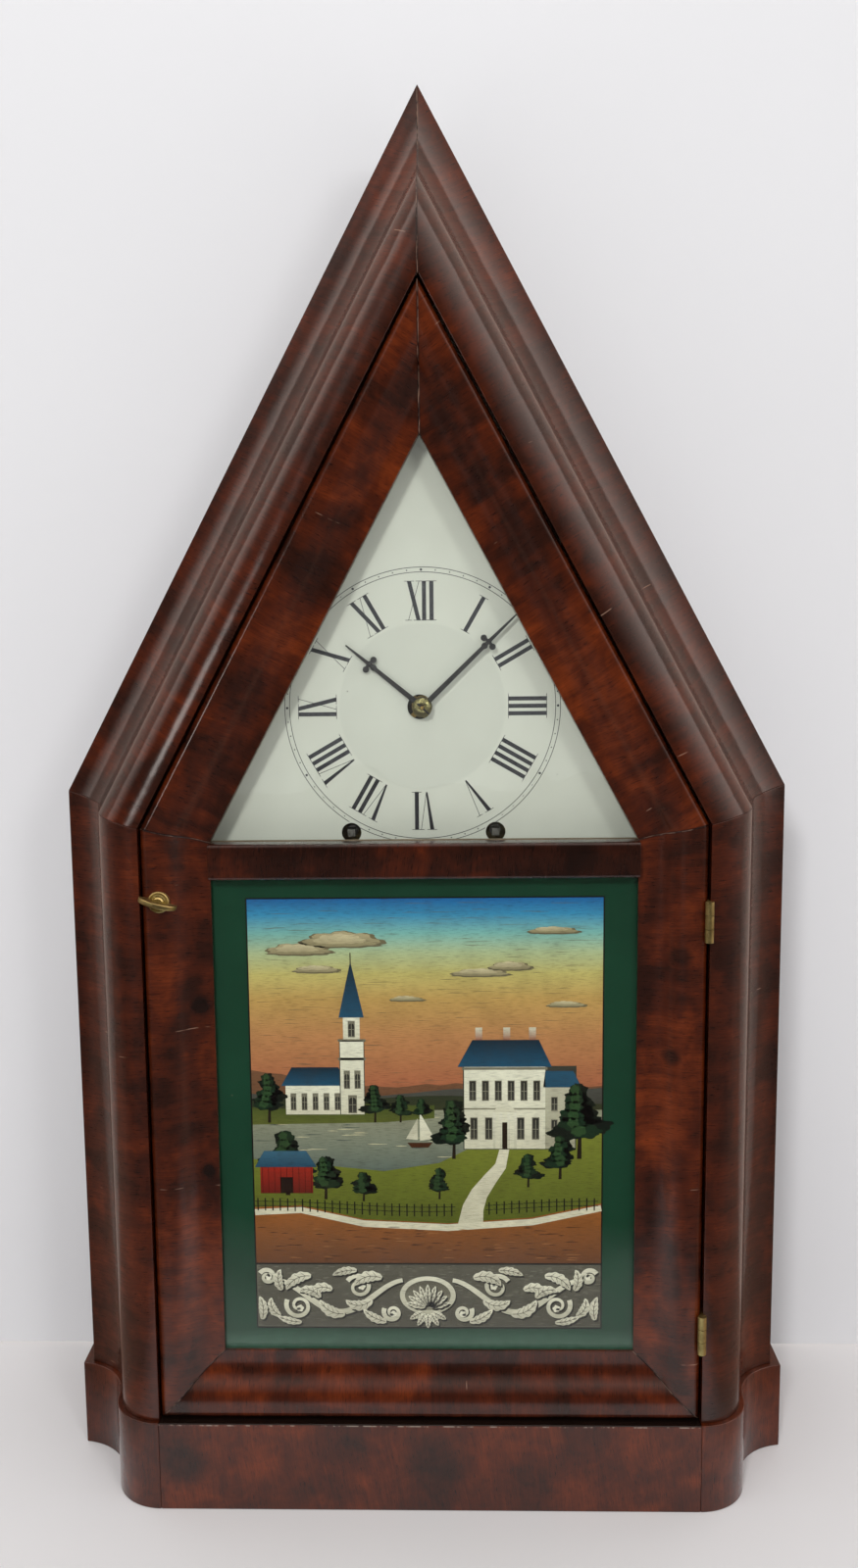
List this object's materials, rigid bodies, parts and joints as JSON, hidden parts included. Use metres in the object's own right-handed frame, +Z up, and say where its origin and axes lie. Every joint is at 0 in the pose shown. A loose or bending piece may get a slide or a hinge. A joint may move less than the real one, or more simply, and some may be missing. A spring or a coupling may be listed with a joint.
{
  "type": "mantel clock",
  "caption": "Steeple clock with S-moulded mahogany case, pointed hinged door with painted lower glass, dial, hands and eight-day movement.",
  "frame": {"origin": "middle of the footprint on the surface the clock stands on", "axes": "+X to the right seen from the front, -Y towards the viewer, +Z up to the point of the roof"},
  "size_m": [0.358, 0.1333, 0.664],
  "materials": {
    "mahogany": "French-polished mahogany veneer, aged gloss",
    "pine": "plain pine, waxed and darkened by age",
    "glass": "old thin window glass, slightly uneven",
    "painting": "oil paint behind glass, green border and landscape",
    "putty": "old hard putty",
    "dial": "pale greenish white painted zinc, satin",
    "hands": "black enamel on steel, satin",
    "brass": "aged brass, satin",
    "steel": "plain steel, slightly dulled",
    "iron": "dark iron"
  },
  "bodies": {
    "case": {"backboard": "pine", "bottom_board": "pine", "side_left": "mahogany", "side_right": "mahogany", "roof_left": "mahogany", "roof_right": "mahogany", "moulding_side_left": "mahogany", "moulding_side_right": "mahogany", "moulding_roof_left": "mahogany", "moulding_roof_right": "mahogany", "plinth_front": "mahogany", "plinth_block_left": "mahogany", "plinth_block_right": "mahogany", "dial_blocks": "pine", "hinge_upper_case_leaf": "brass", "hinge_lower_case_leaf": "brass", "dial_plate": "dial", "dial_screws": "brass", "plate_front": "brass", "plate_back": "brass", "movement_blocks": "pine", "movement_screws": "steel", "mainsprings": "steel", "gong": "iron"},
    "door": {"door_stile_left": "mahogany", "door_stile_right": "mahogany", "door_rail_bottom": "mahogany", "door_rail_middle": "mahogany", "door_rake_left": "mahogany", "door_rake_right": "mahogany", "dial_glass": "glass", "tablet_glass": "glass", "tablet_painting": "painting", "glass_putty": "putty", "latch_plate": "brass", "hinge_upper_door_leaf": "brass", "hinge_lower_door_leaf": "brass"},
    "latch": {"latch_knob": "brass", "latch_tongue": "brass"},
    "centre": {"centre_wheel": "brass", "cannon_pinion": "brass", "minute_hand": "hands", "hand_collet": "brass"},
    "motion": {"minute_wheel": "brass"},
    "hour": {"hour_wheel": "brass", "hour_hand": "hands"},
    "second": {"second_wheel": "brass"},
    "time_great": {"time_great_wheel": "brass"},
    "time_winding": {"time_winding_arbor": "steel"},
    "third": {"third_wheel": "brass"},
    "escape": {"escape_wheel": "brass"},
    "verge": {"verge_crutch": "steel"},
    "pendulum": {"pendulum_rod": "steel", "pendulum_bob": "brass"},
    "strike_great": {"strike_great_wheel": "brass"},
    "strike_winding": {"strike_winding_arbor": "steel"},
    "pin": {"pin_wheel": "brass"},
    "lock": {"lock_wheel": "brass"},
    "fly_arbor": {"fly": "brass"},
    "hammer_arm": {"hammer": "steel"}
  },
  "joints": [
    {"name": "door_swing", "type": "hinge", "parent": "case", "child": "door", "pos_m": [0.1284, -0.0634, 0.1875], "axis": [0, 0, 1], "range_deg": [0, 110]},
    {"name": "latch_turn", "type": "hinge", "parent": "door", "child": "latch", "pos_m": [-0.1204, -0.0535, 0.2968], "axis": [0, 1, 0], "range_deg": [0, 90]},
    {"name": "hands_turn", "type": "hinge", "parent": "case", "child": "centre", "pos_m": [0, -0.0125, 0.383], "axis": [0, 1, 0], "continuous": true},
    {"name": "minute_wheel_turn", "type": "hinge", "parent": "case", "child": "motion", "pos_m": [0.01103, -0.0305, 0.37374], "axis": [0, 1, 0], "continuous": true},
    {"name": "hour_hand_turn", "type": "hinge", "parent": "case", "child": "hour", "pos_m": [0, -0.0345, 0.383], "axis": [0, 1, 0], "continuous": true},
    {"name": "second_wheel_turn", "type": "hinge", "parent": "case", "child": "second", "pos_m": [0.01105, -0.0075, 0.36203], "axis": [0, 1, 0], "continuous": true},
    {"name": "time_great_wheel_turn", "type": "hinge", "parent": "case", "child": "time_great", "pos_m": [0.0336, -0.0215, 0.3246], "axis": [0, 1, 0], "continuous": true},
    {"name": "time_winding_turn", "type": "hinge", "parent": "case", "child": "time_winding", "pos_m": [0.0336, -0.0075, 0.3246], "axis": [0, 1, 0], "continuous": true},
    {"name": "third_wheel_turn", "type": "hinge", "parent": "case", "child": "third", "pos_m": [-0.01942, -0.0075, 0.39711], "axis": [0, 1, 0], "continuous": true},
    {"name": "escape_wheel_turn", "type": "hinge", "parent": "case", "child": "escape", "pos_m": [0, -0.0075, 0.40745], "axis": [0, 1, 0], "continuous": true},
    {"name": "pendulum_swing", "type": "hinge", "parent": "case", "child": "pendulum", "pos_m": [0, 0.0215, 0.43145], "axis": [0, 1, 0], "range_deg": [-4, 4]},
    {"name": "verge_rock", "type": "hinge", "parent": "case", "child": "verge", "pos_m": [0, -0.0025, 0.43145], "axis": [0, 1, 0], "range_deg": [-4, 4]},
    {"name": "strike_turn", "type": "hinge", "parent": "case", "child": "pin", "pos_m": [-0.04119, -0.0075, 0.36764], "axis": [0, 1, 0], "continuous": true},
    {"name": "strike_great_wheel_turn", "type": "hinge", "parent": "case", "child": "strike_great", "pos_m": [-0.0336, 0.0075, 0.3246], "axis": [0, 1, 0], "continuous": true},
    {"name": "strike_winding_turn", "type": "hinge", "parent": "case", "child": "strike_winding", "pos_m": [-0.0336, -0.0075, 0.3246], "axis": [0, 1, 0], "continuous": true},
    {"name": "lock_wheel_turn", "type": "hinge", "parent": "case", "child": "lock", "pos_m": [-0.05309, -0.0075, 0.38825], "axis": [0, 1, 0], "continuous": true},
    {"name": "fly_turn", "type": "hinge", "parent": "case", "child": "fly_arbor", "pos_m": [-0.04319, -0.0075, 0.4054], "axis": [0, 1, 0], "continuous": true},
    {"name": "hammer_lift", "type": "hinge", "parent": "case", "child": "hammer_arm", "pos_m": [-0.066, -0.0025, 0.352], "axis": [0, 1, 0], "range_deg": [0, 8]}
  ],
  "couplings": [
    {"joint": "second_wheel_turn", "follows": "hands_turn", "ratio": -0.25},
    {"joint": "time_great_wheel_turn", "follows": "hands_turn", "ratio": 0.02381},
    {"joint": "third_wheel_turn", "follows": "hands_turn", "ratio": -9},
    {"joint": "escape_wheel_turn", "follows": "hands_turn", "ratio": 90},
    {"joint": "minute_wheel_turn", "follows": "hands_turn", "ratio": -0.33333},
    {"joint": "hour_hand_turn", "follows": "hands_turn", "ratio": 0.083333},
    {"joint": "verge_rock", "follows": "pendulum_swing", "ratio": 1},
    {"joint": "strike_great_wheel_turn", "follows": "strike_turn", "ratio": -0.095238},
    {"joint": "lock_wheel_turn", "follows": "strike_turn", "ratio": -7.5},
    {"joint": "fly_turn", "follows": "strike_turn", "ratio": 60}
  ]
}
